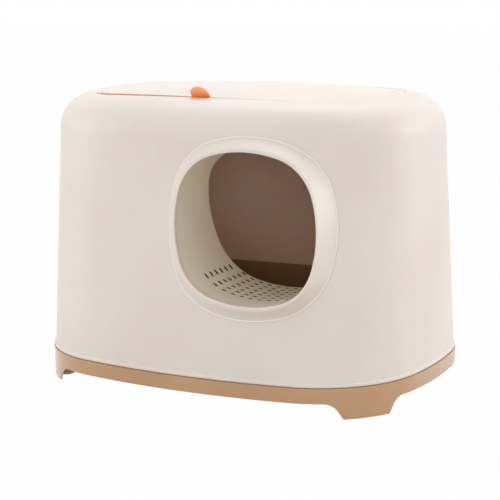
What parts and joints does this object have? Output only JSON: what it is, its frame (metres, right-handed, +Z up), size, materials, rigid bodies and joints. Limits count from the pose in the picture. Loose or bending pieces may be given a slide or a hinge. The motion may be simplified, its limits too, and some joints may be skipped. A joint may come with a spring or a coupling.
{
  "type": "covered litter box",
  "caption": "Covered litter box: arched tray with feet, lift-off hood with a rounded off-centre entry tunnel, and a hinged top lid with a pull tab.",
  "frame": {"origin": "middle of the box on the floor, under the centre of its plan", "axes": "+X to the right along the length, seen from the front; +Y to the back, away from the entry; +Z up"},
  "size_m": [0.5298, 0.392, 0.393],
  "materials": {
    "tray_plastic": "satin moulded, tan",
    "hood_plastic": "satin moulded, cream",
    "tunnel_plastic": "satin moulded, cream",
    "seal_rubber": "soft, tan",
    "tab_silicone": "soft silicone, orange",
    "pad_rubber": "matte, brown",
    "pin_steel": "plain drawn wire"
  },
  "bodies": {
    "base": {"base_tray": "tray_plastic", "foot_pad_front_left": "pad_rubber", "foot_pad_front_right": "pad_rubber", "foot_pad_back_left": "pad_rubber", "foot_pad_back_right": "pad_rubber"},
    "cover": {"cover_shell": "hood_plastic", "entry_bezel": "hood_plastic", "entry_tunnel": "tunnel_plastic", "hinge_pin_left": "pin_steel", "hinge_pin_right": "pin_steel"},
    "lid": {"top_lid": "hood_plastic", "lid_seal": "seal_rubber", "lid_pull_tab": "tab_silicone"}
  },
  "joints": [
    {"name": "cover_lift", "type": "slide", "parent": "base", "child": "cover", "axis": [0, 0, 1], "range_m": [0, 0.16]},
    {"name": "lid_hinge", "type": "hinge", "parent": "cover", "child": "lid", "pos_m": [0, 0.126, 0.37348], "axis": [-1, 0, 0], "range_deg": [0, 105]}
  ]
}
